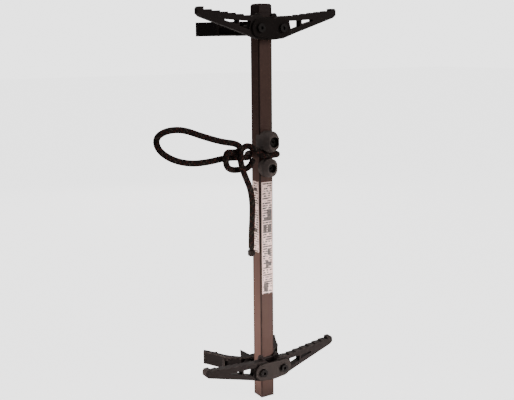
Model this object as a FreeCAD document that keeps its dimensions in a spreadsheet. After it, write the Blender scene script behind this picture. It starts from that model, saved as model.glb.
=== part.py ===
import FreeCAD, Part
import math
import os
import re

import Sketcher
from FreeCAD import Placement, Rotation, Vector

# Tree climbing stick: one square tube with a pair of folding steps and a V bracket at each end,
# two rope cleats on the front face and a rope wound between them.
# Frame: +Z up the tube, +Y towards the tree, origin on the tube's axis at its bottom end.

DIMENSIONS = {
    # tube, cap and plug
    "tube_width": 26.4,
    "tube_wall": 1.8,
    "tube_corner": 1.2,
    "tube_top": 676.0,
    "cap_top": 696.5,
    "cap_width": 27.0,
    "cap_neck": 6.0,
    "cap_round": 4.5,
    "cap_corner": 2.3,
    "cap_shank": 18.0,
    "plug_flange": 2.0,
    "insert_gap": 0.1,
    # steps
    "step_low_z": 58.0,
    "step_high_z": 656.0,
    "pivot_x": 21.5,
    "plate_thick": 3.5,
    "plate_end_radius": 15.5,
    "plate_bow": 2.0,
    "washer_thick": 0.6,
    "arm_thick": 12.3,
    "arm_play": 0.05,
    "hub_radius": 20.0,
    "stop_half": 5.15,
    "heel_x": 6.05,
    "left_sag": 2.5,
    "right_lift": 1.5,
    "heel_drop": 19.0,
    "lug_top": 13.0,
    "ear_x": 16.0,
    "ear_radius": 5.5,
    "ear_rise": 19.5,
    "tooth_pitch": 14.45,
    "first_tooth": 14.9,
    "tooth_height": 2.1,
    "tread_rise": 18.7,
    "tread_slope": 0.115,
    "tip_reach": 112.2,
    "tip_tooth": 10.4,
    "tip_top": 33.0,
    "tip_bottom": 17.2,
    "tip_chamfer_low": 5.5,
    "tip_chamfer_rise": 5.0,
    "tip_chamfer_top": 3.5,
    "tip_chamfer_in": 2.5,
    "tooth_bevel": 0.4,
    "root_end_x": 8.0,
    "heel_end_x": 4.5,
    "heel_end_drop": 16.8,
    "knee_x": 28.2,
    "knee_drop": 8.4,
    "rib_thick": 3.5,
    "rib_x": 39.25,
    "inner_low_x": 19.1,
    "inner_low_drop": 2.8,
    "inner_top_x": 15.7,
    "inner_top_rise": 11.8,
    "rib_inner_top": 12.6,
    "rib_inner_low": 3.3,
    "rib_outer_top": 13.0,
    "rib_outer_low": 6.2,
    "outer_end_x": 64.5,
    "outer_end_top": 14.7,
    "outer_end_low": 12.2,
    "arm_round": 1.2,
    "plate_round": 1.2,
    # fasteners
    "hole_play": 0.1,
    "bush_play": 0.05,
    "bolt_radius": 4.0,
    "bolt_head_radius": 7.0,
    "bolt_head_high": 4.4,
    "socket_radius": 2.9,
    "socket_deep": 3.0,
    "bush_radius": 6.0,
    "nut_radius": 7.5,
    "nut_high": 8.0,
    "flat_washer_radius": 7.8,
    "flat_washer_thick": 1.6,
    "bolt_tail": 2.0,
    "thrust_radius": 11.0,
    "sleeve_radius": 6.5,
    # tree bracket
    "web_back": 28.0,
    "web_thick": 4.0,
    "flange_thick": 3.0,
    "bracket_half": 11.8,
    "channel_x": 14.0,
    "shoulder_x": 33.0,
    "shoulder_y": 21.5,
    "elbow_x": 56.0,
    "elbow_y": 38.5,
    "wing_angle": 63.7,
    "wing_long": 48.5,
    "wing_thick": 9.0,
    "pad_start": 5.0,
    "pad_rim": 3.4,
    "pad_deep": 0.8,
    "nub_high": 5.0,
    "nub_end": 14.0,
    "nub_peak": 18.0,
    "nub_start": 22.0,
    "wing_lip": 4.2,
    "wing_lip_in": 0.4,
    "wing_tip": 8.5,
    "wing_tip_trim": 0.8,
    "inner_elbow_x": 10.0,
    "inner_elbow_y": 3.5,
    "heel_bevel_x": 3.0,
    "heel_bevel_y": 0.8,
    "channel_inset": 2.0,
    "channel_over": 1.0,
    "channel_shoulder_x": 4.0,
    "channel_shoulder_y": 6.0,
    "channel_elbow": 4.0,
    "channel_out": 3.0,
    "channel_inner_x": 7.0,
    "channel_inner_y": 0.9,
    "channel_heel_x": 1.6,
    "channel_heel_y": 1.2,
    "channel_web_x": 2.4,
    "pad_end": 1.5,
    "pad_over": 1.0,
    "gusset_z": 3.0,
    "gusset_inset": 0.5,
    "gusset_face": 0.6,
    "gusset_foot_x": 11.0,
    "gusset_foot_y": 2.5,
    "spur_thick": 3.6,
    "spur_x": 16.3,
    "spur_y": 57.2,
    "spur_wide": 2.8,
    "spur_sink": 1.0,
    "spur_lift": 0.6,
    "spur_foot_x": 2.0,
    "spur_toe_x": 1.0,
    # cleats
    "cleat_slot_play": 0.1,
    "cleat_bolt_radius": 3.0,
    "cleat_hole_play": 0.2,
    "cleat_socket_radius": 2.5,
    "cleat_head_play": 0.7,
    "cleat_round": 13.0,
    "cleat_face_rim": 1.2,
    "cleat_well_deep": 9.0,
    "cleat_head_high": 4.0,
    "cleat_washer_thick": 1.2,
    "cleat_washer_radius": 6.0,
    "cleat_nut_high": 5.0,
    "cleat_nut_radius": 5.75,
    "cleat_bolt_tail": 1.5,
    # labels
    "label_thick": 0.2,
    "front_label_wide": 22.0,
    "front_label_high": 201.0,
    "front_label_x": -10.0,
    "front_label_z": 195.5,
    "side_label_wide": 19.5,
    "side_label_high": 126.5,
    "side_label_y": -8.5,
    "side_label_z": 271.0,
    # rope
    "rope_radius": 5.0,
    "knob_radius": 6.8,
    "knob_high": 12.0,
    "knob_round": 3.5,
}

doc = FreeCAD.newDocument("climbing_stick")
sheet = doc.addObject("Spreadsheet::Sheet", "dims")
for row, (alias, number) in enumerate(DIMENSIONS.items(), start=1):
    sheet.set(f"A{row}", alias)
    sheet.set(f"B{row}", str(number))
    sheet.setAlias(f"B{row}", alias)
doc.recompute()

pieces = []


def size(alias):
    """The value of one driving dimension, in millimetres."""
    return float(sheet.get(alias))


def named(expression):
    """An expression in which each driving dimension is read from the sheet."""
    def read(word):
        return f"dims.{word[0]}" if word[0] in DIMENSIONS else word[0]

    return re.sub(r"[a-z_]+", read, expression)


def bind(target, path, expression):
    """Bind a property of an object to an expression of driving dimensions."""
    target.setExpression(path, named(expression))


def value_of(expression):
    """The number that an expression of driving dimensions comes to."""
    number = sheet.evalExpression(named(expression))
    return float(getattr(number, "Value", number))


def keep(target, label):
    """Name a finished sub-part and put it on the list that is exported."""
    target.Label = label
    pieces.append(target)
    return target


def new_body(label, x="0", y="0", z="0"):
    """A PartDesign body placed at a point given by three expressions."""
    body = doc.addObject("PartDesign::Body", label)
    bind(body, "Placement.Base.x", x)
    bind(body, "Placement.Base.y", y)
    bind(body, "Placement.Base.z", z)
    return keep(body, label)


def new_sketch(body, role, offset="0"):
    """A sketch on one of the body's own origin planes, moved along the plane's normal."""
    plane = next(item for item in body.Origin.OriginFeatures if item.Role == role)
    sketch = body.newObject("Sketcher::SketchObject", "sketch")
    sketch.AttachmentSupport = [(plane, "")]
    sketch.MapMode = "FlatFace"
    bind(sketch, "AttachmentOffset.Base.z", offset)
    return sketch


def pin_point(sketch, geometry, end, across, up):
    """Fix one end of a sketch element at a point given by two expressions."""
    for kind, expression in (("DistanceX", across), ("DistanceY", up)):
        if value_of(expression) == 0.0:
            along = Sketcher.Constraint("PointOnObject", geometry, end, -2 if kind == "DistanceX" else -1)
            sketch.addConstraint(along)
            continue
        constraint = Sketcher.Constraint(kind, -1, 1, geometry, end, value_of(expression))
        index = sketch.addConstraint(constraint)
        sketch.renameConstraint(index, f"{kind}_{index}")
        bind(sketch, f"Constraints.{kind}_{index}", expression)


def arc_between(start, end, middle_x, middle_y, clockwise):
    """A sketch arc about a centre, and the numbers of its path-start and path-end points."""
    centre = Vector(middle_x, middle_y, 0)
    first, last = (end, start) if clockwise else (start, end)
    circle = Part.Circle(centre, Vector(0, 0, 1), first.distanceToPoint(centre))
    angles = [math.atan2(point.y - centre.y, point.x - centre.x) for point in (first, last)]
    if angles[1] <= angles[0]:
        angles[1] += 2 * math.pi
    points = (2, 1) if clockwise else (1, 2)
    return Part.ArcOfCircle(circle, *angles), points


def draw_outline(sketch, corners, arcs=None):
    """Draw a closed outline through corners given as pairs of expressions.

    arcs maps a corner's number to (centre across, centre up, clockwise) when the stretch that
    leaves it is round. Every corner is pinned to its expressions.
    """
    arcs = arcs or {}
    points = [Vector(value_of(across), value_of(up), 0) for across, up in corners]
    base = sketch.GeometryCount
    ends = []
    for number, start in enumerate(points):
        finish = points[(number + 1) % len(points)]
        if number in arcs:
            across, up, clockwise = arcs[number]
            shape, order = arc_between(start, finish, value_of(across), value_of(up), clockwise)
        else:
            shape, order = Part.LineSegment(start, finish), (1, 2)
        sketch.addGeometry(shape)
        ends.append(order)
    for number in range(len(points)):
        after = (number + 1) % len(points)
        finish, start = ends[number][1], ends[after][0]
        sketch.addConstraint(Sketcher.Constraint("Coincident", base + number, finish, base + after, start))
    for number, (across, up) in enumerate(corners):
        pin_point(sketch, base + number, ends[number][0], across, up)
    for number, (across, up, _) in arcs.items():
        chord = points[(number + 1) % len(points)] - points[number]
        kind = "DistanceX" if abs(chord.y) > abs(chord.x) else "DistanceY"
        expression = across if kind == "DistanceX" else up
        if value_of(expression) == 0.0:
            axis = -2 if kind == "DistanceX" else -1
            sketch.addConstraint(Sketcher.Constraint("PointOnObject", base + number, 3, axis))
            continue
        constraint = Sketcher.Constraint(kind, -1, 1, base + number, 3, value_of(expression))
        index = sketch.addConstraint(constraint)
        sketch.renameConstraint(index, f"centre_{index}")
        bind(sketch, f"Constraints.centre_{index}", expression)


def draw_circle(sketch, across, up, radius):
    """Draw a circle with its centre and radius given by expressions."""
    centre = Vector(value_of(across), value_of(up), 0)
    index = sketch.addGeometry(Part.Circle(centre, Vector(0, 0, 1), value_of(radius)))
    pin_point(sketch, index, 3, across, up)
    number = sketch.addConstraint(Sketcher.Constraint("Radius", index, value_of(radius)))
    sketch.renameConstraint(number, f"radius_{number}")
    bind(sketch, f"Constraints.radius_{number}", radius)


def add_pad(body, sketch, length, reverse=False, both=False, taper=None):
    """Pad a sketch by a length given by an expression, straight or drawn in by a taper angle."""
    pad = body.newObject("PartDesign::Pad", "pad")
    pad.Profile = sketch
    bind(pad, "Length", length)
    pad.Reversed = reverse
    pad.Midplane = both
    if taper:
        bind(pad, "TaperAngle", taper)
    doc.recompute()
    return pad


def add_pocket(body, sketch, length, reverse=False, both=False):
    """Cut a sketch into the body by a length given by an expression, and check that it cut."""
    before = body.Shape.Volume
    pocket = body.newObject("PartDesign::Pocket", "pocket")
    pocket.Profile = sketch
    pocket.Type = 0
    bind(pocket, "Length", length)
    pocket.Reversed = reverse
    pocket.Midplane = both
    doc.recompute()
    if body.Shape.Volume >= before - 1e-6:
        raise RuntimeError(f"pocket in {body.Label} cuts nothing")
    return pocket


def edges_where(feature, test):
    """The names of a feature's edges whose shape passes a test."""
    return [f"Edge{n}" for n, edge in enumerate(feature.Shape.Edges, start=1) if test(edge)]


def add_fillet(body, test, radius):
    """Round the edges of the body's tip that pass a test."""
    tip = body.Tip
    fillet = body.newObject("PartDesign::Fillet", "fillet")
    fillet.Base = (tip, edges_where(tip, test))
    bind(fillet, "Radius", radius)
    doc.recompute()
    return fillet


def is_along(edge, axis):
    """True for a straight edge that runs along an axis."""
    if not isinstance(edge.Curve, Part.Line):
        return False
    return abs(abs(edge.Curve.Direction.dot(axis)) - 1.0) < 1e-6


def lies_at(edge, axis, height):
    """True for an edge that lies in the plane across an axis at a height in the body's frame."""
    first, last = edge.FirstParameter, edge.LastParameter
    heights = [edge.valueAt(place).dot(axis) for place in (first, (first + last) / 2, last)]
    return max(abs(found - height) for found in heights) < 1e-4


def rod(name, radius, length, x, y, z):
    """A Part cylinder along -Y from a point, with its sizes bound to expressions."""
    cylinder = doc.addObject("Part::Cylinder", name)
    bind(cylinder, "Radius", radius)
    bind(cylinder, "Height", length)
    cylinder.Placement = Placement(Vector(), Rotation(Vector(1, 0, 0), 90))
    bind(cylinder, "Placement.Base.x", x)
    bind(cylinder, "Placement.Base.y", y)
    bind(cylinder, "Placement.Base.z", z)
    return cylinder


def cut(name, base, tool):
    """A Part cut of one object by another."""
    result = doc.addObject("Part::Cut", name)
    result.Base = base
    result.Tool = tool
    return result


def group(label, members):
    """One sub-part made of several separate solids."""
    compound = doc.addObject("Part::Compound", label)
    compound.Links = members
    return keep(compound, label)


AXIS_Y = Vector(0, 1, 0)
AXIS_Z = Vector(0, 0, 1)
SIDES = {"left": "-1", "right": "1"}
LEVELS = {"lower": "step_low_z", "upper": "step_high_z"}
CLEATS = {
    # name: (centre height, half height, half width, nose start, nose end, wrap back, well radius)
    "upper": ("467.6", "18", "14.8", "29", "40", "8.9", "8.2"),
    "lower": ("422.4", "16", "14.6", "26.3", "33", "2.5", "7"),
}
TURNED_STEPS = {("lower", "left"): "left_sag", ("lower", "right"): "right_lift"}
TUBE_FRONT = "tube_width / 2"
BASE_FRONT = "tube_width / 2 + plate_thick"
PIVOT_GAP = "2 * washer_thick + 2 * arm_play + arm_thick"
PLATE_BACK = f"{BASE_FRONT} + {PIVOT_GAP}"
ROPE_ROUTE = [
    # tail, from the stopper up
    (-32.5, -15, 281.5), (-32.5, -15, 303), (-30.5, -15, 335), (-29.5, -15, 363), (-34.5, -16.5, 390),
    (-47, -21, 411.5), (-57.5, -28, 430.5), (-62.5, -30.5, 447), (-58.5, -30, 459), (-64.5, -26.5, 469),
    # long bight
    (-90, -20, 473), (-125, -17, 484.5), (-158, -14, 497.5), (-188, -13, 497), (-206, -13, 486),
    (-201, -13.5, 466), (-177, -14, 449), (-146, -15, 440.5), (-112, -15.5, 440), (-80, -15.5, 443.5),
    # behind the tube, round it and across its front
    (-46, -15, 441), (-25.5, -3, 440.5), (-23, 13, 443), (-13.5, 22.8, 444), (13.5, 22.8, 444),
    (23.7, 13.5, 444), (23.7, -13.5, 443.8), (13.5, -23, 443.8), (-13.5, -23, 444),
    # over the knot, round the bight and back under to the tucked end
    (-25, -21.5, 454), (-37.5, -14.5, 464), (-49.5, -13, 457), (-59, -15.5, 453.5), (-69, -18.5, 454),
    (-87, -27, 456.5), (-87.5, -27.5, 434), (-72, -15.5, 424.5), (-56, -7, 420), (-38, -8, 421.5),
    (-27.5, -12, 430), (-22.5, -14, 437),
]
BEND_SHARE = 0.45
LABEL_FACE = f"-({TUBE_FRONT} + label_thick)"
TEETH = 6


def rectangle(half_wide, half_high):
    """The corners of a rectangle centred on the sketch's origin."""
    left, bottom = f"-({half_wide})", f"-({half_high})"
    return [(left, bottom), (half_wide, bottom), (half_wide, half_high), (left, half_high)]


def oval(half_wide, half_high, corner):
    """The corners of a rounded rectangle centred on the sketch's origin, and its four arcs."""
    across, up = f"({half_wide} - {corner})", f"({half_high} - {corner})"
    corners = [
        (f"-{across}", f"-({half_high})"), (across, f"-({half_high})"),
        (half_wide, f"-{up}"), (half_wide, up),
        (across, half_high), (f"-{across}", half_high),
        (f"-({half_wide})", up), (f"-({half_wide})", f"-{up}"),
    ]
    arcs = {
        1: (across, f"-{up}", False), 3: (across, up, False),
        5: (f"-{across}", up, False), 7: (f"-{across}", f"-{up}", False),
    }
    return corners, arcs


def square(body, half, length, offset="0", reverse=False):
    """Pad a square of a given half width up the body's axis."""
    sketch = new_sketch(body, "XY_Plane", offset)
    draw_outline(sketch, rectangle(half, half))
    return add_pad(body, sketch, length, reverse)


def make_tube():
    """The square tube, with a through hole for each cleat bolt."""
    body = new_body("tube", z="plug_flange")
    sketch = new_sketch(body, "XY_Plane")
    for half in (TUBE_FRONT, f"{TUBE_FRONT} - tube_wall"):
        draw_outline(sketch, rectangle(half, half))
    add_pad(body, sketch, "tube_top - plug_flange")
    outer = size("tube_width") / 2 - 0.1
    add_fillet(body, lambda edge: is_along(edge, AXIS_Z) and abs(edge.valueAt(0).x) > outer, "tube_corner")
    holes = new_sketch(body, "XZ_Plane")
    for height, *_ in CLEATS.values():
        draw_circle(holes, "0", f"{height} - plug_flange", "cleat_bolt_radius + cleat_hole_play")
    add_pocket(body, holes, "tube_width + 2", both=True)


def make_cap():
    """The moulded cap on the tube's top end, with its shank inside the tube."""
    body = new_body("top_cap", z="tube_top")
    square(body, "cap_width / 2", "cap_top - tube_top - cap_neck", offset="cap_neck")
    add_fillet(body, lambda edge: is_along(edge, AXIS_Z), "cap_corner")
    top = size("cap_top") - size("tube_top")
    add_fillet(body, lambda edge: lies_at(edge, AXIS_Z, top), "cap_round")
    square(body, TUBE_FRONT, "cap_neck")
    square(body, "tube_width / 2 - tube_wall - insert_gap", "cap_shank", reverse=True)


def make_plug():
    """The flanged plug that closes the tube's bottom end."""
    body = new_body("bottom_plug")
    square(body, "tube_width / 2", "plug_flange")
    add_fillet(body, lambda edge: is_along(edge, AXIS_Z), "tube_corner")
    square(body, "tube_width / 2 - tube_wall - insert_gap", "cap_shank", offset="plug_flange")


def make_base_plate(level, height):
    """The plate against the tube's front face, with two round ears and the lug that stops the steps."""
    body = new_body(f"{level}_base_plate", y=f"-({TUBE_FRONT})", z=height)
    sketch = new_sketch(body, "XZ_Plane")
    ear_out = "ear_x + ear_radius"
    ear_in = "ear_x - ear_radius"
    corners = [
        ("-(pivot_x)", "-(plate_end_radius)"), ("-(stop_half)", "-(heel_drop)"),
        ("stop_half", "-(heel_drop)"), ("pivot_x", "-(plate_end_radius)"),
        ("pivot_x", "plate_end_radius"), (ear_out, "ear_rise"), (ear_in, "ear_rise"),
        (f"-({ear_in})", "ear_rise"), (f"-({ear_out})", "ear_rise"), ("-(pivot_x)", "plate_end_radius"),
    ]
    arcs = {
        3: ("pivot_x", "0", False),
        5: ("ear_x", "ear_rise", False),
        7: ("-(ear_x)", "ear_rise", False),
        9: ("-(pivot_x)", "0", False),
    }
    draw_outline(sketch, corners, arcs)
    for sign in SIDES.values():
        draw_circle(sketch, f"{sign} * pivot_x", "0", "bolt_radius + hole_play")
    add_pad(body, sketch, "plate_thick")
    lug = new_sketch(body, "XZ_Plane", "plate_thick")
    draw_outline(lug, [
        ("-(stop_half)", "-(heel_drop)"), ("stop_half", "-(heel_drop)"),
        ("stop_half", "-(lug_top)"), ("-(stop_half)", "-(lug_top)"),
    ])
    add_pad(body, lug, PIVOT_GAP)


def make_front_plate(level, height):
    """The plate that holds the front ends of the two step pivots."""
    body = new_body(f"{level}_front_plate", y=f"-({PLATE_BACK})", z=height)
    sketch = new_sketch(body, "XZ_Plane")
    corners = [
        ("-(pivot_x)", "-(plate_end_radius)"), ("0", "-(plate_end_radius + plate_bow)"),
        ("pivot_x", "-(plate_end_radius)"), ("pivot_x", "plate_end_radius"),
        ("-(pivot_x)", "plate_end_radius"),
    ]
    draw_outline(sketch, corners, {2: ("pivot_x", "0", False), 4: ("-(pivot_x)", "0", False)})
    for sign in SIDES.values():
        draw_circle(sketch, f"{sign} * pivot_x", "0", "bolt_radius + hole_play")
    add_pad(body, sketch, "plate_thick")
    front = size("plate_thick")
    end_half = size("plate_end_radius") / 2

    def is_front_end(edge):
        return lies_at(edge, AXIS_Y, -front) and edge.BoundBox.ZLength > end_half

    add_fillet(body, is_front_end, "plate_round")


def tread(distance):
    """The height of the tread's valleys at a distance from the pivot."""
    return f"tread_rise + tread_slope * ({distance} - first_tooth)"


def arm_corners():
    """A right step's outline from its pivot: heel, lower edge, tip, teeth from the tip inwards, and root."""
    heel = "heel_x - pivot_x"
    corners = [
        (heel, "-(heel_drop)"),
        ("heel_end_x", "-(heel_end_drop)"),
        ("knee_x", "-(knee_drop)"),
        ("tip_reach - tip_chamfer_low", "tip_bottom"),
        ("tip_reach", "tip_bottom + tip_chamfer_rise"),
        ("tip_reach", "tip_top - tip_chamfer_top"),
        ("tip_reach - tip_chamfer_in", "tip_top"),
        ("tip_reach - tip_tooth", "tip_top"),
        ("tip_reach - tip_tooth", tread("tip_reach - tip_tooth")),
    ]
    for number in reversed(range(TEETH)):
        peak = f"first_tooth + {number} * tooth_pitch"
        corners.append((f"{peak} + tooth_bevel", f"{tread(peak)} + tooth_height"))
        corners.append((f"{peak} - tooth_bevel", tread(peak)))
    corners += [
        ("root_end_x", "hub_radius"),
        ("0", "hub_radius"),
        (heel, f"-(sqrt(hub_radius ^ 2 - ({heel}) ^ 2))"),
    ]
    return corners


def arm_windows():
    """The two openings of a right step, one each side of its rib."""
    inner, outer = "rib_x - rib_thick / 2", "rib_x + rib_thick / 2"
    return [
        [
            ("inner_top_x", "inner_top_rise"), (inner, "rib_inner_top"),
            (inner, "rib_inner_low"), ("inner_low_x", "-(inner_low_drop)"),
        ],
        [
            (outer, "rib_outer_top"), ("outer_end_x", "outer_end_top"),
            ("outer_end_x", "outer_end_low"), (outer, "rib_outer_low"),
        ],
    ]


def make_step(level, side, height):
    """One folding step: a toothed triangular truss that turns on its bush."""
    sign = SIDES[side]
    back = f"{BASE_FRONT} + washer_thick + arm_play"
    body = new_body(f"{level}_{side}_step", x=f"{sign} * pivot_x", y=f"-({back})", z=height)
    if (level, side) in TURNED_STEPS:
        turn = TURNED_STEPS[level, side]
        body.Placement.Rotation = Rotation(-AXIS_Y, size(turn))
        bind(body, "Placement.Rotation.Angle", turn)
    corners = arm_corners()
    hub_start = len(corners) - 2
    sketch = new_sketch(body, "XZ_Plane")
    draw_outline(sketch, handed(corners, sign), {hub_start: ("0", "0", side == "left")})
    draw_circle(sketch, "0", "0", "bush_radius + bush_play")
    for window in arm_windows():
        draw_outline(sketch, handed(window, sign))
    add_pad(body, sketch, "arm_thick")

    def is_long_edge(edge):
        return isinstance(edge.Curve, Part.Line) and edge.Length > size("tip_reach") / 2

    add_fillet(body, is_long_edge, "arm_round")


def handed(corners, sign):
    """The corners of a right-hand outline, mirrored for the left side."""
    return [(f"{sign} * ({across})", up) for across, up in corners]


def ring(name, outer, inner, length, x, y, z):
    """A tube or washer along -Y from a point."""
    overlap = f"{y} + 1"
    return cut(name, rod(f"{name}_outer", outer, length, x, y, z),
               rod(f"{name}_inner", inner, f"{length} + 2", x, overlap, z))


def hexagon(name, radius, length, x, y, z):
    """A hexagonal prism along -Y from a point."""
    prism = doc.addObject("Part::Prism", name)
    prism.Polygon = 6
    bind(prism, "Circumradius", radius)
    bind(prism, "Height", length)
    prism.Placement = Placement(Vector(), Rotation(Vector(1, 0, 0), 90))
    for letter, place in (("x", x), ("y", y), ("z", z)):
        bind(prism, f"Placement.Base.{letter}", place)
    return prism


def socket_bolt(name, radius, head_radius, head_high, socket_radius, tail, under_head, x, z):
    """A bolt along Y with a round head and a hexagon socket; the head faces -Y."""
    bolt = doc.addObject("Part::Fuse", f"{name}_solid")
    bolt.Base = rod(f"{name}_shank", radius, f"{tail} - ({under_head})", x, tail, z)
    bolt.Tool = rod(f"{name}_head", head_radius, head_high, x, under_head, z)
    floor = f"{under_head} - {head_high} + socket_deep"
    return cut(name, bolt, hexagon(f"{name}_socket", socket_radius, "socket_deep + 1", x, floor, z))


def lock_nut(name, radius, bore, high, x, y, z):
    """A hexagonal nut along -Y from a point."""
    hole = rod(f"{name}_hole", bore, f"{high} + 2", x, f"{y} + 1", z)
    return cut(name, hexagon(f"{name}_block", radius, high, x, y, z), hole)


def make_step_hardware(level, height):
    """Everything on the two pivot bolts of one pair of steps, as one sub-part of two or four solids each."""
    sets = {
        "pivot_bolts": [], "pivot_bushes": [], "thrust_washers": [],
        "spacer_sleeves": [], "bracket_washers": [], "lock_nuts": [],
    }
    washer_back = "web_back + flat_washer_thick"
    nut_back = f"{washer_back} + nut_high"
    bore = "bolt_radius + hole_play"
    for side, sign in SIDES.items():
        name = f"{level}_{side}"
        x = f"{sign} * pivot_x"
        sets["pivot_bolts"].append(socket_bolt(
            f"{name}_bolt", "bolt_radius", "bolt_head_radius", "bolt_head_high", "socket_radius",
            f"{nut_back} + bolt_tail", f"-({PLATE_BACK} + plate_thick)", x, height))
        sets["pivot_bushes"].append(
            ring(f"{name}_bush", "bush_radius", bore, PIVOT_GAP, x, f"-({BASE_FRONT})", height))
        for place, y in (("back", f"-({BASE_FRONT})"), ("front", f"-({PLATE_BACK} - washer_thick)")):
            sets["thrust_washers"].append(
                ring(f"{name}_{place}_thrust", "thrust_radius", "bush_radius", "washer_thick", x, y, height))
        sets["spacer_sleeves"].append(
            ring(f"{name}_sleeve", "sleeve_radius", bore, f"{TUBE_FRONT} + web_back - web_thick", x,
                 "web_back - web_thick", height))
        sets["bracket_washers"].append(
            ring(f"{name}_washer", "flat_washer_radius", bore, "flat_washer_thick", x, washer_back, height))
        sets["lock_nuts"].append(
            lock_nut(f"{name}_nut", "nut_radius", "bolt_radius", "nut_high", x, nut_back, height))
    for kind, members in sets.items():
        group(f"{level}_{kind}", members)


def wing_point(along, inward):
    """A point of the right wing's plan: how far past the elbow, and how far in from the outer face."""
    return (f"elbow_x + ({along}) * cos(wing_angle) - ({inward}) * sin(wing_angle)",
            f"elbow_y + ({along}) * sin(wing_angle) + ({inward}) * cos(wing_angle)")


def mirrored(corners):
    """A right-hand outline carried on round the left side, so that it closes across the middle."""
    return corners + [(f"-({across})", up) for across, up in reversed(corners)]


def bracket_plan():
    """The right half of the bracket seen from above: outer face, tip, inner face and spur heel."""
    return [
        ("channel_x", TUBE_FRONT), ("shoulder_x", "shoulder_y"), wing_point("0", "0"),
        wing_point("wing_long", "0"), wing_point("wing_long + wing_lip", "wing_lip_in"),
        wing_point("wing_long + wing_tip", "wing_thick - wing_tip_trim"),
        wing_point("wing_long", "wing_thick"), wing_point("wing_long - nub_end", "wing_thick"),
        wing_point("wing_long - nub_peak", "wing_thick + nub_high"),
        wing_point("wing_long - nub_start", "wing_thick"), wing_point("wing_thick", "wing_thick"),
        ("elbow_x - inner_elbow_x", "elbow_y + inner_elbow_y"),
        ("shoulder_x", "web_back + heel_bevel_y"), ("shoulder_x - heel_bevel_x", "web_back"),
    ]


def bracket_channel():
    """The right half of the hollow between the bracket's two flanges, seen from above."""
    return [
        ("channel_x - channel_inset", f"{TUBE_FRONT} - channel_over"),
        ("shoulder_x + channel_shoulder_x", "shoulder_y - channel_shoulder_y"),
        ("elbow_x + channel_elbow", "elbow_y - channel_elbow"),
        wing_point("pad_start", "-(channel_out)"), wing_point("pad_start", "wing_thick - web_thick"),
        ("elbow_x - channel_inner_x", "elbow_y + channel_inner_y"),
        ("shoulder_x + channel_heel_x", "web_back - web_thick + channel_heel_y"),
        ("shoulder_x - channel_web_x", "web_back - web_thick"),
    ]


def sink_wing_pad(body, sign):
    """Cut the shallow recess in the outer face of one wing."""
    near, far = "pad_start + pad_rim", "wing_long - pad_end"
    face = new_sketch(body, "XY_Plane")
    draw_outline(face, handed([
        wing_point(near, "-(pad_over)"), wing_point(far, "-(pad_over)"),
        wing_point(far, "pad_deep"), wing_point(near, "pad_deep"),
    ], sign))
    add_pocket(body, face, "2 * bracket_half + 2", both=True)


def add_gusset(body, sign):
    """Add the small web that braces one wing inside the channel."""
    gusset = new_sketch(body, "XY_Plane", "gusset_z")
    along = "pad_start + gusset_inset"
    draw_outline(gusset, handed([
        wing_point(along, "gusset_face"), wing_point(along, "wing_thick - web_thick + gusset_inset"),
        ("elbow_x - gusset_foot_x", "elbow_y - gusset_foot_y"),
    ], sign))
    add_pad(body, gusset, "flange_thick")


def add_spurs(body, sign):
    """Add the two pointed spurs of one side, at the bracket's top and bottom faces."""
    for offset in ("bracket_half - spur_thick", "-(bracket_half)"):
        spur = new_sketch(body, "XY_Plane", offset)
        draw_outline(spur, handed([
            ("spur_x - spur_wide", "web_back - spur_sink"),
            ("shoulder_x - spur_foot_x", "web_back - spur_sink"),
            ("shoulder_x - spur_toe_x", "web_back + spur_lift"), ("spur_x", "spur_y"),
            ("spur_x - spur_wide", "web_back + spur_lift"),
        ], sign))
        add_pad(body, spur, "spur_thick")


def make_bracket(level, height):
    """The V bracket that seats against the trunk: a channel behind the tube, two wings, teeth and spurs."""
    body = new_body(f"{level}_tree_bracket", z=height)
    plan = new_sketch(body, "XY_Plane", "-(bracket_half)")
    draw_outline(plan, mirrored(bracket_plan()))
    add_pad(body, plan, "2 * bracket_half")
    channel = new_sketch(body, "XY_Plane")
    draw_outline(channel, mirrored(bracket_channel()))
    add_pocket(body, channel, "2 * (bracket_half - flange_thick)", both=True)
    for sign in SIDES.values():
        sink_wing_pad(body, sign)
        add_gusset(body, sign)
        add_spurs(body, sign)
    holes = new_sketch(body, "XZ_Plane")
    for sign in SIDES.values():
        draw_circle(holes, f"{sign} * pivot_x", "0", "bolt_radius + hole_play")
    add_pocket(body, holes, "2 * spur_y", both=True)


def make_cleat(name, height, half_high, half_wide, nose_start, nose_end, wrap, well):
    """A moulded cleat that sits astride the tube's front edge, with a well for its bolt."""
    body = new_body(f"{name}_cleat", z=height)
    collar = new_sketch(body, "XZ_Plane", f"tube_width / 2 - {wrap}")
    draw_outline(collar, *oval(half_wide, half_high, "cleat_round"))
    add_pad(body, collar, f"{nose_start} - tube_width / 2 + {wrap}")
    nose = new_sketch(body, "XZ_Plane", nose_start)
    draw_outline(nose, *oval(half_wide, half_high, "cleat_round"))
    drawn_in = f"atan(({half_wide} - {well} - cleat_face_rim) / ({nose_end} - {nose_start}))"
    add_pad(body, nose, f"{nose_end} - {nose_start}", taper=f"-({drawn_in})")
    slot = new_sketch(body, "XZ_Plane")
    draw_outline(slot, rectangle("tube_width / 2 + cleat_slot_play", f"{half_high} + 1"))
    add_pocket(body, slot, "tube_width / 2", reverse=True)
    deep = new_sketch(body, "XZ_Plane", nose_end)
    draw_circle(deep, "0", "0", well)
    add_pocket(body, deep, "cleat_well_deep")
    through = new_sketch(body, "XZ_Plane")
    draw_circle(through, "0", "0", "cleat_bolt_radius + hole_play")
    add_pocket(body, through, f"{nose_end} + 2", reverse=True)


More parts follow.
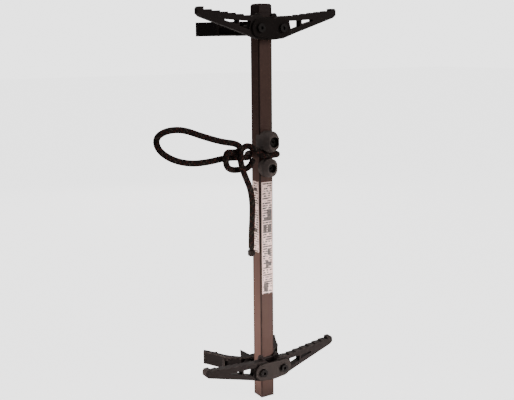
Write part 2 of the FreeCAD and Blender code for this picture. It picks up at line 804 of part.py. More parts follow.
def make_cleat_hardware():
    """The bolt, washer and nut of each cleat."""
    bolts, washers, nuts = [], [], []
    washer_back = f"{TUBE_FRONT} + cleat_washer_thick"
    nut_back = f"{washer_back} + cleat_nut_high"
    for name, (height, _, _, _, nose_end, _, well) in CLEATS.items():
        bolts.append(socket_bolt(
            f"{name}_cleat_bolt", "cleat_bolt_radius", f"{well} - cleat_head_play", "cleat_head_high",
            "cleat_socket_radius", f"{nut_back} + cleat_bolt_tail", f"-({nose_end} - cleat_well_deep)",
            "0", height))
        washers.append(ring(
            f"{name}_cleat_washer", "cleat_washer_radius", "cleat_bolt_radius + hole_play",
            "cleat_washer_thick", "0", washer_back, height))
        nuts.append(lock_nut(
            f"{name}_cleat_nut", "cleat_nut_radius", "cleat_bolt_radius", "cleat_nut_high",
            "0", nut_back, height))
    group("cleat_bolts", bolts)
    group("cleat_washers", washers)
    group("cleat_nuts", nuts)


def make_label(name, wide, thick, high, x, y, z):
    """A thin adhesive label on one face of the tube, from its lowest corner."""
    label = doc.addObject("Part::Box", name)
    for edge, length in (("Length", wide), ("Width", thick), ("Height", high)):
        bind(label, edge, length)
    for letter, place in (("x", x), ("y", y), ("z", z)):
        bind(label, f"Placement.Base.{letter}", place)
    keep(label, name)


def rope_wire(points):
    """The rope's centre line: straight runs joined by arcs as large as each pair of runs allows."""
    edges = []
    radii = []
    here = points[0]
    for before, corner, after in zip(points, points[1:], points[2:]):
        incoming, outgoing = corner - before, after - corner
        half_turn = incoming.getAngle(outgoing) / 2
        reach = BEND_SHARE * min(incoming.Length, outgoing.Length)
        radius = reach / math.tan(half_turn)
        incoming.normalize()
        outgoing.normalize()
        start, finish = corner - incoming * reach, corner + outgoing * reach
        centre = corner + (outgoing - incoming).normalize() * (radius / math.cos(half_turn))
        middle = centre + (corner - centre).normalize() * radius
        edges.append(Part.LineSegment(here, start).toShape())
        edges.append(Part.Arc(start, middle, finish).toShape())
        radii.append(round(radius, 1))
        here = finish
    edges.append(Part.LineSegment(here, points[-1]).toShape())
    print("rope radii", radii)
    return Part.Wire(edges)


def make_rope():
    """The rope: a tail, a long bight, one turn round the tube and the knot, as one round tube."""
    points = [Vector(*point) for point in ROPE_ROUTE]
    path = rope_wire(points)
    section = Part.Wire(Part.makeCircle(size("rope_radius"), points[0], points[1] - points[0]))
    rope = doc.addObject("Part::Feature", "rope")
    rope.Shape = path.makePipeShell([section], True, False)
    expected = math.pi * size("rope_radius") ** 2 * path.Length
    ratio = rope.Shape.Volume / expected
    print(f"rope {path.Length:.1f} mm long, volume {ratio:.4f} of its section times length")
    keep(rope, "rope")


def make_stopper():
    """The knob at the end of the rope's tail."""
    end_x, end_y, end_z = ROPE_ROUTE[0]
    body = new_body("rope_stopper", x=f"{end_x}", y=f"{end_y}", z=f"{end_z} - knob_high")
    sketch = new_sketch(body, "XY_Plane")
    draw_circle(sketch, "0", "0", "knob_radius")
    add_pad(body, sketch, "knob_high")
    add_fillet(body, lambda edge: isinstance(edge.Curve, Part.Circle), "knob_round")


make_tube()
make_cap()
make_plug()
for level_name, level_height in LEVELS.items():
    make_base_plate(level_name, level_height)
    make_front_plate(level_name, level_height)
    for side_name in SIDES:
        make_step(level_name, side_name, level_height)
    make_step_hardware(level_name, level_height)
    make_bracket(level_name, level_height)
for cleat_name, cleat_sizes in CLEATS.items():
    make_cleat(cleat_name, *cleat_sizes)
make_cleat_hardware()
make_label("front_label", "front_label_wide", "label_thick", "front_label_high",
           "front_label_x", LABEL_FACE, "front_label_z")
make_label("side_label", "label_thick", "side_label_wide", "side_label_high",
           LABEL_FACE, "side_label_y", "side_label_z")
make_rope()
make_stopper()
doc.recompute()

for item in doc.Objects:
    if "Invalid" in item.State or "Error" in item.State:
        raise RuntimeError(f"{item.Name} ({item.Label}) failed: {item.State}")
os.makedirs("parts", exist_ok=True)
for piece in pieces:
    shape = piece.Shape
    if shape.isNull() or not shape.isValid():
        raise RuntimeError(f"{piece.Label} has no valid shape")
    shape.exportStep(f"parts/{piece.Label}.step")
    print(f"{piece.Label}: {len(shape.Solids)} solids, {shape.Volume / 1000:.2f} cm3")
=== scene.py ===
"""Looks of a single-tube tree climbing stick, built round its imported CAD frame.

Everything is in metres in the CAD's frame: +Z up the tube, +Y towards the tree.
"""

import math

import bpy
from mathutils import Matrix, Vector, noise


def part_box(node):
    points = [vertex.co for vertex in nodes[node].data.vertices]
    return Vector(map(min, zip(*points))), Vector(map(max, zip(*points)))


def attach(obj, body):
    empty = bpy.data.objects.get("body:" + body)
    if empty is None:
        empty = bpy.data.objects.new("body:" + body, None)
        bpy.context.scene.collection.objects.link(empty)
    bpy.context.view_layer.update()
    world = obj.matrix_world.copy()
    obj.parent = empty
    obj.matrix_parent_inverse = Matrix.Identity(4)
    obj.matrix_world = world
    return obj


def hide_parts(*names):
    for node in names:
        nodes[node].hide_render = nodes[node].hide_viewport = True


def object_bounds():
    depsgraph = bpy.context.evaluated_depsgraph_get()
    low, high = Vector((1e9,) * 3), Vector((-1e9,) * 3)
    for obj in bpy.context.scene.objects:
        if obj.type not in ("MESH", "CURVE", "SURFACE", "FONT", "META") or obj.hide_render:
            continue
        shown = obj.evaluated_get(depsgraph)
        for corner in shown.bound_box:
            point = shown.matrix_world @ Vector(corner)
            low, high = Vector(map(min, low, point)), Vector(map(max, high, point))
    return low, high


MM = 0.001
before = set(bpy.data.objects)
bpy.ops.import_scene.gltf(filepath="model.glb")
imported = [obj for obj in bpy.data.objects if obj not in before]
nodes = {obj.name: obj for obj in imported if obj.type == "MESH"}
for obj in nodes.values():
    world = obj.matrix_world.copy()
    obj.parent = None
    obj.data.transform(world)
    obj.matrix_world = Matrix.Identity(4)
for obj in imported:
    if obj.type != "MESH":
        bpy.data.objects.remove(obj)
CAD_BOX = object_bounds()

# The photograph's camera, found from the tube's edges and the pivots.
CAMERA_PLACE = Vector((-0.7124, -1.1456, 0.6291))
CAMERA_YAW = math.radians(31.47)
CAMERA_PITCH = math.radians(11.17)
CAMERA_ROLL = math.radians(-0.55)
CAMERA_LENS = 55.02
SENSOR_WIDE = 36.0
CLIP_NEAR = 0.01
CLIP_FAR = 50.0

# The rope's route in millimetres. It is the CAD's, with some points of the knot moved.
ROPE_ROUTE = [
    # tail, from the stopper up
    (-32.5, -15, 281.5), (-32.5, -15, 303), (-30.5, -15, 335), (-29.5, -15, 363), (-34.5, -16.5, 390),
    (-47, -21, 411.5), (-57.5, -28, 430.5), (-62.5, -30.5, 447), (-58.5, -30, 459), (-64.5, -26.5, 469),
    # long bight
    (-90, -20, 473), (-125, -17, 484.5), (-158, -14, 497.5), (-188, -13, 497), (-206, -13, 486),
    (-201, -13.5, 466), (-177, -14, 449), (-146, -15, 440.5), (-112, -15, 441), (-80, -12, 445),
    # behind the tube, round it and across its front
    (-46, -10, 442.5), (-25.5, -2, 440.5), (-23, 13, 443), (-13.5, 22.8, 444), (13.5, 22.8, 444),
    (23.7, 13.5, 444), (23.7, -13.5, 443.8), (13.5, -23, 443.8), (-13.5, -23, 444),
    # over the knot, round the bight and back under to the tucked end
    (-25, -21.5, 454), (-37.5, -14.5, 464), (-49.5, -13, 457), (-59, -15.5, 453.5), (-69, -18.5, 454),
    (-87, -27, 456.5), (-87.5, -27.5, 434), (-72, -15.5, 424.5), (-55, -7, 421.5),
    (-29, -10, 423), (-29, -17.5, 440),
]


def add_object(name, data):
    """A new object in the scene, made of the given data."""
    item = bpy.data.objects.new(name, data)
    bpy.context.scene.collection.objects.link(item)
    return item


def middle(node):
    """The middle of a CAD node's box."""
    return [(low + high) / 2 for low, high in zip(*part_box(node))]


def place_camera():
    """The photograph's camera."""
    forward = Vector((math.sin(CAMERA_YAW) * math.cos(CAMERA_PITCH),
                      math.cos(CAMERA_YAW) * math.cos(CAMERA_PITCH),
                      -math.sin(CAMERA_PITCH)))
    right = Vector((math.cos(CAMERA_YAW), -math.sin(CAMERA_YAW), 0))
    up = right.cross(forward)
    turned_right = right * math.cos(CAMERA_ROLL) + up * math.sin(CAMERA_ROLL)
    turned_up = up * math.cos(CAMERA_ROLL) - right * math.sin(CAMERA_ROLL)
    data = bpy.data.cameras.new("camera")
    data.lens = CAMERA_LENS
    data.sensor_width = SENSOR_WIDE
    data.sensor_fit = "HORIZONTAL"
    data.clip_start = CLIP_NEAR
    data.clip_end = CLIP_FAR
    camera = add_object("camera", data)
    axes = Matrix((turned_right, turned_up, -forward)).transposed()
    camera.matrix_world = Matrix.Translation(CAMERA_PLACE) @ axes.to_4x4()
    bpy.context.scene.camera = camera


# ---------------------------------------------------------------- shader

BEVEL_SAMPLES = 6
CREVICE_SAMPLES = 12
# cosine of the angle between the true and the rounded surface
EDGE_STARTS = 0.99
EDGE_FULL = 0.8
# share of the surroundings that a point sees
CREVICE_STARTS = 0.94
CREVICE_FULL = 0.68
# what a noise goes through nearly everywhere, and most of the time
NOISE_RANGE = (0.3, 0.7)
NOISE_MIDDLE = (0.35, 0.65)


class Shader:
    """A material's node tree, with short calls for the nodes that it is made of."""

    def __init__(self, name):
        self.material = bpy.data.materials.new(name)
        self.material.use_nodes = True
        self.tree = self.material.node_tree
        self.bsdf = self.tree.nodes["Principled BSDF"]
        self.coordinates = self.tree.nodes.new("ShaderNodeTexCoord").outputs["Object"]

    def link(self, source, target):
        self.tree.links.new(source, target)

    def node(self, kind, **settings):
        node = self.tree.nodes.new(kind)
        for name, value in settings.items():
            setattr(node, name, value)
        return node

    def axes(self):
        """The place along X, Y and Z in the object's own space."""
        parts = self.node("ShaderNodeSeparateXYZ")
        self.link(self.coordinates, parts.inputs[0])
        return parts.outputs

    def noise(self, scale, detail=4.0, roughness=0.5, stretch=(1, 1, 1)):
        """Noise in the object's own space, stretched along its axes."""
        mapping = self.node("ShaderNodeMapping")
        mapping.inputs["Scale"].default_value = stretch
        self.link(self.coordinates, mapping.inputs["Vector"])
        texture = self.node("ShaderNodeTexNoise")
        texture.inputs["Scale"].default_value = scale
        texture.inputs["Detail"].default_value = detail
        texture.inputs["Roughness"].default_value = roughness
        self.link(mapping.outputs["Vector"], texture.inputs["Vector"])
        return texture.outputs["Fac"]

    def math(self, operation, *values):
        """One operation on values that are each a number or a socket."""
        node = self.node("ShaderNodeMath", operation=operation)
        for socket, value in zip(node.inputs, values):
            if isinstance(value, (int, float)):
                socket.default_value = value
            else:
                self.link(value, socket)
        return node.outputs[0]

    def product(self, first, *others):
        """All the values multiplied together."""
        for other in others:
            first = self.math("MULTIPLY", first, other)
        return first

    def between(self, value, low, high):
        """1 where the value is between two limits, and 0 elsewhere."""
        return self.product(self.math("GREATER_THAN", value, low), self.math("LESS_THAN", value, high))

    def ramp(self, source, low, high, start=0.0, end=1.0):
        """source mapped from low..high to start..end, and held there outside."""
        node = self.node("ShaderNodeMapRange")
        node.inputs["From Min"].default_value = low
        node.inputs["From Max"].default_value = high
        node.inputs["To Min"].default_value = start
        node.inputs["To Max"].default_value = end
        self.link(source, node.inputs["Value"])
        return node.outputs["Result"]

    def mix(self, factor, first, second):
        """A colour between two, each a colour or a socket."""
        node = self.node("ShaderNodeMix", data_type="RGBA")
        self.link(factor, node.inputs[0])
        sockets = [item for item in node.inputs if item.type == "RGBA"]
        for socket, value in zip(sockets, (first, second)):
            if isinstance(value, tuple):
                socket.default_value = (*value, 1.0)
            else:
                self.link(value, socket)
        return next(item for item in node.outputs if item.type == "RGBA")

    def bevelled(self, radius):
        """The surface's direction with its edges rounded to a radius."""
        bevel = self.node("ShaderNodeBevel", samples=BEVEL_SAMPLES)
        bevel.inputs["Radius"].default_value = radius
        return bevel.outputs["Normal"]

    def edges(self, radius):
        """How far the surface is from flat within a radius: 0 on flats, 1 on sharp edges."""
        geometry = self.node("ShaderNodeNewGeometry")
        dot = self.node("ShaderNodeVectorMath", operation="DOT_PRODUCT")
        self.link(self.bevelled(radius), dot.inputs[0])
        self.link(geometry.outputs["Normal"], dot.inputs[1])
        return self.ramp(dot.outputs["Value"], EDGE_STARTS, EDGE_FULL)

    def crevices(self, reach):
        """How enclosed a piece is by its own shape within a distance: 0 in the open, 1 deep in a corner; it
        masks the painted shade in crevices.
        """
        occlusion = self.node("ShaderNodeAmbientOcclusion", samples=CREVICE_SAMPLES, only_local=True)
        occlusion.inputs["Distance"].default_value = reach
        return self.ramp(occlusion.outputs["AO"], CREVICE_STARTS, CREVICE_FULL)

    def bump(self, *layers, edge_radius=None):
        """Bump layers of (height, strength, distance), over softened edges where a radius is given."""
        normal = self.bevelled(edge_radius) if edge_radius else None
        for height, strength, distance in layers:
            node = self.node("ShaderNodeBump")
            node.inputs["Strength"].default_value = strength
            node.inputs["Distance"].default_value = distance
            self.link(height, node.inputs["Height"])
            if normal:
                self.link(normal, node.inputs["Normal"])
            normal = node.outputs["Normal"]
        self.link(normal, self.bsdf.inputs["Normal"])

    def colour(self, source):
        self.link(source, self.bsdf.inputs["Base Color"])

    def roughness(self, source, low, high):
        """Roughness from low to high as a noise goes through its usual range."""
        self.link(self.ramp(source, *NOISE_RANGE, low, high), self.bsdf.inputs["Roughness"])

    def gloss(self, specular, metallic=0.0):
        self.bsdf.inputs["Specular IOR Level"].default_value = specular
        self.bsdf.inputs["Metallic"].default_value = metallic


# ---------------------------------------------------------------- powder coat

# noise scales, per metre
COAT_DRIFT = 14.0
COAT_SPECKLE = 900.0
COAT_RUB = 160.0
COAT_PEEL = 260.0
DRIFT_SHARE = 0.6  # of the tone; the rest is speckle
COAT_SPECULAR = 0.1
COAT_EDGE = 0.5 * MM
# painted shade: the colour that crevices and inner corners are drawn darker towards
CREVICE_PAINTED_SHADE = (0.0022, 0.0016, 0.0015)
CREVICE_SHADE_DEPTH = 0.85
# painted shade: a dark line along the tube's vertical corners
CORNER_PAINTED_SHADE = (0.010, 0.0055, 0.0045)
CORNER_SHADE_DEPTH = 0.88
CORNER_LINE_STARTS = 2.8 * MM
CORNER_LINE_FULL = 1.6 * MM
# painted shade: the tube drawn darker towards its foot
FOOT_PAINTED_SHADE = (0.022, 0.0135, 0.0115)
FOOT_SHADE_DEPTH = 0.8
FOOT_STARTS = 36 * MM
FOOT_FULL = 4 * MM


def shade_tube(shader, painted, corner):
    """The tube's paint with painted shade over its foot and along a line at its corners, where |x| + |y| is
    its width.
    """
    x, y, up = shader.axes()
    away = shader.math("ADD", shader.math("ABSOLUTE", x), shader.math("ABSOLUTE", y))
    # painted shade along the corners
    line = shader.ramp(away, corner - CORNER_LINE_STARTS, corner - CORNER_LINE_FULL)
    painted = shader.mix(shader.product(line, CORNER_SHADE_DEPTH), painted, CORNER_PAINTED_SHADE)
    # painted shade at the foot
    foot = shader.ramp(up, FOOT_STARTS, FOOT_FULL, 0.0, FOOT_SHADE_DEPTH)
    return shader.mix(foot, painted, FOOT_PAINTED_SHADE)


def powder_coat(name, dark, light, worn, roughness, wear, edge=0.9 * MM, reach=3.5 * MM,
                specular=COAT_SPECULAR, corner=None):
    """Textured powder coat: fine orange peel, drifting tone, rubbed edges and painted shade in crevices.

    edge is how wide the rubbed edges are, and reach how wide the painted shade in crevices. corner is given
    for the tube only, and is its width; with it the tube gets painted shade along its corners and at its
    foot.
    """
    shader = Shader(name)
    drift = shader.noise(COAT_DRIFT, detail=5.0, roughness=0.6)
    grain = shader.noise(COAT_SPECKLE, detail=2.0, roughness=0.6)
    tone = shader.math("ADD", shader.product(drift, DRIFT_SHARE), shader.product(grain, 1 - DRIFT_SHARE))
    base = shader.mix(shader.ramp(tone, *NOISE_MIDDLE), dark, light)
    patchy = shader.ramp(shader.noise(COAT_RUB, roughness=0.7), *NOISE_MIDDLE)
    painted = shader.mix(shader.product(shader.edges(edge), patchy, wear), base, worn)
    # painted shade darkens the crevices
    painted = shader.mix(shader.product(shader.crevices(reach), CREVICE_SHADE_DEPTH), painted, CREVICE_PAINTED_SHADE)
    if corner:
        painted = shade_tube(shader, painted, corner)
    shader.colour(painted)
    shader.roughness(drift, roughness - 0.07, roughness + 0.08)
    shader.gloss(specular)
    peel = shader.noise(COAT_PEEL, detail=3.0)
    shader.bump((grain, 0.35, 0.15 * MM), (peel, 0.25, 0.2 * MM), edge_radius=COAT_EDGE)
    return shader.material


TUBE_BROWN = powder_coat(
    "tube_brown", dark=(0.052, 0.029, 0.024), light=(0.068, 0.040, 0.033),
    worn=(0.16, 0.11, 0.095), roughness=0.5, wear=0.35, corner=2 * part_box("tube")[1][0],
)
STEP_BLACK = powder_coat(
    "step_black", dark=(0.0078, 0.0060, 0.0058), light=(0.0140, 0.0108, 0.0103),
    worn=(0.075, 0.060, 0.055), roughness=0.62, wear=0.8, edge=1.4 * MM, reach=7.0 * MM,
)
# the upper and lower front plates have one paint; it is drawn darker on the upper plate as painted shade
# and lighter on the lower plate as painted light
TOP_PLATE_SHADED_BLACK = powder_coat(
    "top_plate_shaded_black", dark=(0.0092, 0.0078, 0.0075), light=(0.0168, 0.0143, 0.0137),
    worn=(0.040, 0.032, 0.030), roughness=0.66, wear=0.6, specular=0.03,
)
LOWER_PLATE_LIT_BLACK = powder_coat(
    "lower_plate_lit_black", dark=(0.0180, 0.0150, 0.0138), light=(0.0290, 0.0240, 0.0220),
    worn=(0.085, 0.070, 0.064), roughness=0.6, wear=0.5,
)
# the two tree brackets have one paint; it is drawn darker on the lower bracket as painted shade and lighter
# on the upper bracket as painted light
LOWER_BRACKET_SHADED_BLACK = powder_coat(
    "lower_bracket_shaded_black", dark=(0.0024, 0.0017, 0.0016), light=(0.0046, 0.0033, 0.0031),
    worn=(0.085, 0.070, 0.064), roughness=0.7, wear=1.0, edge=3.0 * MM, specular=0.07,
)
TOP_BRACKET_LIT_BLACK = powder_coat(
    "top_bracket_lit_black", dark=(0.0052, 0.0042, 0.0042), light=(0.0092, 0.0074, 0.0074),
    worn=(0.085, 0.070, 0.064), roughness=0.7, wear=1.0, edge=3.0 * MM,
)


# ---------------------------------------------------------------- mouldings

# noise scales, per metre
MOULD_FLOW = 30.0
MOULD_SPARK = 1300.0
MOULD_EDGE = 0.6 * MM
# painted highlight: edges drawn lighter than the rest
MOULD_HIGHLIGHT_RADIUS = 0.8 * MM
MOULD_HIGHLIGHT_BRIGHTNESS = 1.8  # times the light colour
MOULD_HIGHLIGHT_SHARE = 0.35
# painted shade inside the cleats' bolt wells
WELL_PAINTED_SHADE = (0.003, 0.0026, 0.0026)
WELL_SOFT = 0.5 * MM
WELL_SOLID = 0.2 * MM


def moulded(name, dark, light, roughness, wells=()):
    """Moulded plastic or rubber: spark texture, slight flow marks, softened edges and a painted highlight
    along the edges.

    Each of the wells is the height and radius of a round hole along Y, in the middle of the piece, drawn
    dark as painted shade in the recess.
    """
    shader = Shader(name)
    flow = shader.noise(MOULD_FLOW, roughness=0.55, stretch=(1, 1, 0.4))
    spark = shader.noise(MOULD_SPARK, detail=2.0, roughness=0.6)
    base = shader.mix(shader.ramp(flow, *NOISE_RANGE), dark, light)
    # painted highlight along the edges
    edge_highlight = tuple(min(1.0, MOULD_HIGHLIGHT_BRIGHTNESS * part) for part in light)
    surface = shader.mix(shader.product(shader.edges(MOULD_HIGHLIGHT_RADIUS), MOULD_HIGHLIGHT_SHARE), base, edge_highlight)
    for height, radius in wells:
        x, _, up = shader.axes()
        squares = [shader.math("POWER", side, 2.0) for side in (x, shader.math("SUBTRACT", up, height))]
        from_axis = shader.math("SQRT", shader.math("ADD", *squares))
        inside = shader.ramp(from_axis, radius + WELL_SOFT, radius + WELL_SOLID)
        # painted shade in the well
        surface = shader.mix(inside, surface, WELL_PAINTED_SHADE)
    shader.colour(surface)
    shader.roughness(flow, roughness - 0.06, roughness + 0.06)
    shader.gloss(COAT_SPECULAR)
    shader.bump((spark, 0.3, 0.1 * MM), edge_radius=MOULD_EDGE)
    return shader.material


CAP_BLACK = moulded("cap_black", (0.0138, 0.0088, 0.0083), (0.0220, 0.0136, 0.0128), 0.5)
CLEAT_BLACK = moulded(
    "cleat_black", (0.0560, 0.0475, 0.0445), (0.0850, 0.0725, 0.0685), 0.6,
    wells=[(middle("upper_cleat")[2], 8.6 * MM), (middle("lower_cleat")[2], 7.3 * MM)],
)
WASHER_BLACK = moulded("washer_black", (0.010, 0.010, 0.010), (0.018, 0.018, 0.018), 0.5)
STOPPER_MELT = moulded("stopper_melt", (0.0075, 0.0055, 0.0050), (0.0170, 0.0120, 0.0105), 0.45)


# ---------------------------------------------------------------- hardware

# noise scales, per metre
STEEL_SCRATCH = 500.0
STEEL_PATCH = 90.0
STEEL_EDGE = 0.3 * MM
STEEL_RUB = 0.5 * MM
STEEL_RUB_SHARE = 0.6
STEEL_SPECULAR = 0.14


def hardware(name, dark, light, worn, roughness, metallic):
    """Blackened or plated steel: scratches drawn out along one axis and bright rubbed edges."""
    shader = Shader(name)
    scratch = shader.noise(STEEL_SCRATCH, detail=3.0, roughness=0.6, stretch=(1, 0.15, 1))
    patches = shader.noise(STEEL_PATCH, roughness=0.6)
    base = shader.mix(shader.ramp(patches, *NOISE_MIDDLE), dark, light)
    rub = shader.product(shader.edges(STEEL_RUB), shader.ramp(scratch, 0.35, 0.6), STEEL_RUB_SHARE)
    shader.colour(shader.mix(rub, base, worn))
    shader.roughness(scratch, roughness - 0.08, roughness + 0.1)
    shader.gloss(STEEL_SPECULAR, metallic)
    shader.bump((scratch, 0.25, 0.05 * MM), edge_radius=STEEL_EDGE)
    return shader.material


BOLT_BLACK = hardware(
    "bolt_black", dark=(0.0026, 0.0022, 0.0022), light=(0.0060, 0.0051, 0.0049),
    worn=(0.06, 0.052, 0.05), roughness=0.5, metallic=0.2,
)
# the bolts down in the cleats' wells: a darker copy of the bolt paint, as painted shade
WELL_BOLT_SHADED_BLACK = hardware(
    "well_bolt_shaded_black", dark=(0.0014, 0.0012, 0.0012), light=(0.0034, 0.0030, 0.0029),
    worn=(0.024, 0.021, 0.020), roughness=0.6, metallic=0.1,
)
BUSH_BRASS = hardware(
    "bush_brass", dark=(0.35, 0.24, 0.09), light=(0.48, 0.34, 0.14),
    worn=(0.75, 0.6, 0.3), roughness=0.35, metallic=1.0,
)


# ---------------------------------------------------------------- labels

PAPER_DARK = (0.80, 0.585, 0.540)
PAPER_LIGHT = (0.91, 0.70, 0.655)
INK = (0.018, 0.013, 0.012)
ROW_PITCH = 4.3 * MM
ROW_INKED = (0.22, 0.82)  # share of the pitch, from its foot
PRINT_MARGIN = 0.86  # of half the width
# noise scales, per metre, and where the noise is cut into words and paragraphs
WORD_SCALE = 210.0
WORD_CUT = 0.46
PARAGRAPH_SCALE = 70.0
PARAGRAPH_CUT = 0.36
FADE_SCALE = 240.0
FADE_LEAVES = 0.88
PAPER_SCALE = 60.0
LABEL_GLOSS_SCALE = 300.0
LABEL_TOOTH_SCALE = 900.0

# Blocks of print: from and to in shares of the height, then in shares of half the width from the middle
FRONT_BLOCKS = [
    (0.69, 0.76, 0.0, 0.85), (0.667, 0.69, -0.6, 0.85),
    (0.555, 0.625, -0.75, -0.1), (0.555, 0.625, 0.1, 0.8), (0.35, 0.41, 0.05, 0.65),
    (0.235, 0.30, -0.3, 0.2), (0.25, 0.29, 0.2, 0.75), (0.02, 0.10, -0.7, 0.1),
]
SIDE_BLOCKS = [(0.86, 0.9, -0.6, 0.7), (0.28, 0.34, -0.5, 0.4)]


def printed_label(name, node, across_axis, blocks):
    """A pale label with rows of grey bars in place of text, and a few plain grey blocks."""
    low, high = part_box(node)
    half_wide = (high[across_axis] - low[across_axis]) / 2
    shader = Shader(name)
    axes = shader.axes()
    from_middle = shader.math("SUBTRACT", axes[across_axis], middle(node)[across_axis])
    across = shader.math("DIVIDE", from_middle, half_wide)
    up = shader.math("DIVIDE", shader.math("SUBTRACT", axes[2], low[2]), high[2] - low[2])
    rows = shader.between(shader.math("FRACT", shader.product(axes[2], 1 / ROW_PITCH)), *ROW_INKED)
    word_noise = shader.noise(WORD_SCALE, detail=2.0, roughness=0.6, stretch=(1, 1, 0.8))
    words = shader.math("GREATER_THAN", word_noise, WORD_CUT)
    paragraph_noise = shader.noise(PARAGRAPH_SCALE, detail=0.0, roughness=0.3, stretch=(0.2, 0.2, 1))
    paragraphs = shader.math("GREATER_THAN", paragraph_noise, PARAGRAPH_CUT)
    inside = shader.math("LESS_THAN", shader.math("ABSOLUTE", across), PRINT_MARGIN)
    ink = shader.product(rows, words, paragraphs, inside)
    for bottom, top, left, right in blocks:
        block = shader.product(shader.between(up, bottom, top), shader.between(across, left, right))
        ink = shader.math("MAXIMUM", ink, block)
    fading = shader.ramp(shader.noise(FADE_SCALE, detail=3.0, roughness=0.7), 0.3, 0.6, FADE_LEAVES, 1.0)
    stain = shader.ramp(shader.noise(PAPER_SCALE, detail=5.0, roughness=0.65), 0.35, 0.7)
    paper = shader.mix(stain, PAPER_DARK, PAPER_LIGHT)
    shader.colour(shader.mix(shader.product(ink, fading), paper, INK))
    shader.roughness(shader.noise(LABEL_GLOSS_SCALE, detail=3.0), 0.42, 0.6)
    shader.bump((shader.noise(LABEL_TOOTH_SCALE, detail=3.0), 0.15, 0.05 * MM))
    return shader.material


FRONT_PRINT = printed_label("front_print", "front_label", 0, FRONT_BLOCKS)
SIDE_PRINT = printed_label("side_print", "side_label", 1, SIDE_BLOCKS)


# ---------------------------------------------------------------- CAD pieces

MATERIAL_OF = {
    "tube": TUBE_BROWN, "top_cap": CAP_BLACK, "bottom_plug": CAP_BLACK,
    "upper_cleat": CLEAT_BLACK, "lower_cleat": CLEAT_BLACK,
    "cleat_bolts": WELL_BOLT_SHADED_BLACK, "cleat_washers": BOLT_BLACK, "cleat_nuts": BOLT_BLACK,
    "front_label": FRONT_PRINT, "side_label": SIDE_PRINT,
    "lower_front_plate": LOWER_PLATE_LIT_BLACK, "upper_front_plate": TOP_PLATE_SHADED_BLACK,
    "lower_tree_bracket": LOWER_BRACKET_SHADED_BLACK, "upper_tree_bracket": TOP_BRACKET_LIT_BLACK,
}
for level in ("lower", "upper"):
    MATERIAL_OF.update({
        f"{level}_left_step": STEP_BLACK, f"{level}_right_step": STEP_BLACK,
        f"{level}_base_plate": STEP_BLACK, f"{level}_thrust_washers": WASHER_BLACK,
        f"{level}_pivot_bushes": BUSH_BRASS,
        f"{level}_pivot_bolts": BOLT_BLACK, f"{level}_spacer_sleeves": BOLT_BLACK,
        f"{level}_bracket_washers": BOLT_BLACK, f"{level}_lock_nuts": BOLT_BLACK,
    })


def dress_frame():
    """Give each CAD node its material."""
    for name, material in MATERIAL_OF.items():
        for slot in nodes[name].material_slots:
            slot.material = material


# ---------------------------------------------------------------- rope

RING_STEP = 0.8 * MM
RING_POINTS = 40
ROUTE_RESOLUTION = 24
CROWN_RADIUS = 5.35 * MM
CARRIERS = 8  # in each direction
BRAID_PITCH = 13.0 * MM  # a carrier goes half a turn round the rope in this length
BRAID_HIGH = 0.6 * MM
CROWN_POWER = 0.6
ARCH_LOW = 0.55
# painted shade: the braid's valleys drawn darker, down to this share of the carrier's tone
VALLEY_SHADE_TONE = 0.55
SWELL_SHARE = 0.02
SWELL_RATE = 30.0  # per metre of rope
MELT_LONG = 3.5 * MM
MELT_TONE = Vector((0.0060, 0.0048, 0.0046))
MELT_RELIEF = 0.8
END_SHARE = 0.03  # of the radius, left at the very end
CARRIER_TONES = {
    "dark": (0.0060, 0.0045, 0.0045),
    "brown": (0.0130, 0.0080, 0.0070),
    "red": (0.0620, 0.0170, 0.0125),
    "grey": (0.0440, 0.0340, 0.0280),
}
CARRIER_ORDER = ["dark", "brown", "dark", "red", "dark", "dark", "grey", "brown"]
FIBRE_SCALE = 1500.0
FIBRE_SHADE = (0.012, 0.009, 0.008)
FIBRE_ROUGHNESS = 0.85
FIBRE_SPECULAR = 0.12


def rope_fibre(name):
    """Braided fibre: each carrier's own dye tone with painted shade in the braid's valleys, and fine
    filaments.
    """
    shader = Shader(name)
    carrier = shader.node("ShaderNodeAttribute", attribute_name="carrier").outputs["Color"]
    fuzz = shader.noise(FIBRE_SCALE, detail=3.0, roughness=0.7)
    shader.colour(shader.mix(shader.ramp(fuzz, 0.3, 0.75, 0.0, 0.5), carrier, FIBRE_SHADE))
    shader.bsdf.inputs["Roughness"].default_value = FIBRE_ROUGHNESS
    shader.gloss(FIBRE_SPECULAR)
    shader.bump((fuzz, 0.5, 0.2 * MM))
    return shader.material


ROPE_FIBRE = rope_fibre("rope_fibre")


def smooth_route():
    """Points of the NURBS curve whose control points are the rope's route."""
    data = bpy.data.curves.new("rope_line", "CURVE")
    data.dimensions = "3D"
    data.resolution_u = ROUTE_RESOLUTION
    spline = data.splines.new("NURBS")
    spline.points.add(len(ROPE_ROUTE) - 1)
    for point, place in zip(spline.points, ROPE_ROUTE):
        point.co = (*(Vector(place) * MM), 1.0)
    spline.order_u = 3
    spline.use_endpoint_u = True
    line = add_object("rope_line", data)
    bpy.context.view_layer.update()
    mesh = bpy.data.meshes.new_from_object(line)
    points = [vertex.co.copy() for vertex in mesh.vertices]
    bpy.data.objects.remove(line)
    bpy.data.meshes.remove(mesh)
    return points


def evenly_spaced(points, step):
    """Points along a line a step apart, with the first and last kept."""
    lengths = [0.0]
    for before, after in zip(points, points[1:]):
        lengths.append(lengths[-1] + (after - before).length)
    count = max(2, round(lengths[-1] / step))
    result = []
    part = 0
    for number in range(count + 1):
        wanted = lengths[-1] * number / count
        while part < len(points) - 2 and lengths[part + 1] < wanted:
            part += 1
        share = (wanted - lengths[part]) / max(lengths[part + 1] - lengths[part], 1e-9)
        result.append(points[part].lerp(points[part + 1], min(share, 1.0)))
    return result


